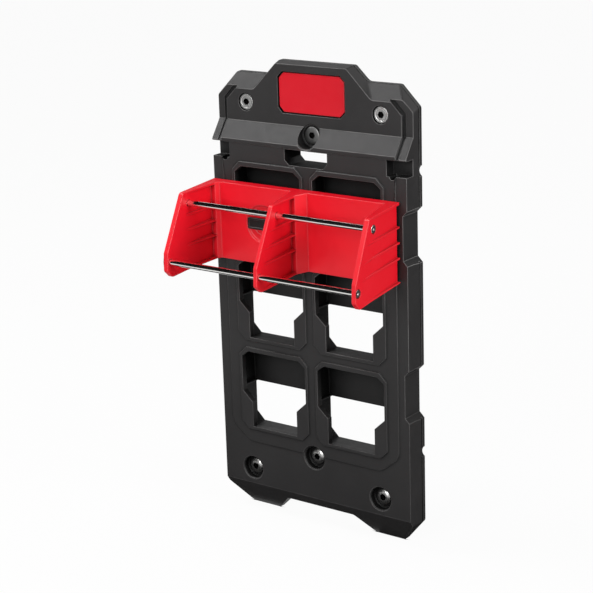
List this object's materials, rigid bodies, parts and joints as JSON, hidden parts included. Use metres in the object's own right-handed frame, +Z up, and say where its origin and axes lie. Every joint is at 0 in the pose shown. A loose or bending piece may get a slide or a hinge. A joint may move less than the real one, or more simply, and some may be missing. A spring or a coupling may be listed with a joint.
{
  "type": "pliers rack on wall plate",
  "caption": "Red moulded pliers rack with open bays and steel rods, hooked by a sliding latch on a black pocketed wall plate.",
  "frame": {"origin": "on the wall face of the plate, at the middle of its width and height", "axes": "+Z up, +Y into the wall, the front faces -Y, +X to the viewer's right"},
  "size_m": [0.254, 0.1244, 0.5214],
  "materials": {
    "plate_black": "fine-grained matte",
    "rack_red": "satin",
    "label_red": "semi-gloss, bare",
    "latch_black": "matte",
    "bright_steel": "polished",
    "spring_steel": "brushed",
    "grey_steel": "dull zinc"
  },
  "bodies": {
    "plate": {"wall_plate": "plate_black", "label_plate": "label_red", "top_washer_left": "grey_steel", "top_washer_right": "grey_steel", "top_screw_left": "grey_steel", "top_screw_right": "grey_steel", "ledge_screw": "grey_steel", "low_middle_screw": "bright_steel", "foot_left_screw": "bright_steel", "foot_right_screw": "bright_steel"},
    "rack": {"rack_body": "rack_red", "upper_rod": "bright_steel", "lower_rod": "bright_steel", "upper_rod_screw_left": "grey_steel", "upper_rod_screw_right": "grey_steel", "lower_rod_screw_left": "grey_steel", "lower_rod_screw_right": "grey_steel", "latch_cover": "spring_steel", "latch_cover_screw_left": "grey_steel", "latch_cover_screw_right": "grey_steel", "detent_spring": "spring_steel"},
    "latch": {"latch_slider": "latch_black", "latch_bolt": "spring_steel", "latch_link_screw": "grey_steel"}
  },
  "joints": [
    {"name": "rack_lift", "type": "slide", "parent": "plate", "child": "rack", "axis": [0, 0, 1], "range_m": [0, 0.039]},
    {"name": "latch_slide", "type": "slide", "parent": "rack", "child": "latch", "axis": [1, 0, 0], "range_m": [0, 0.0045]}
  ]
}
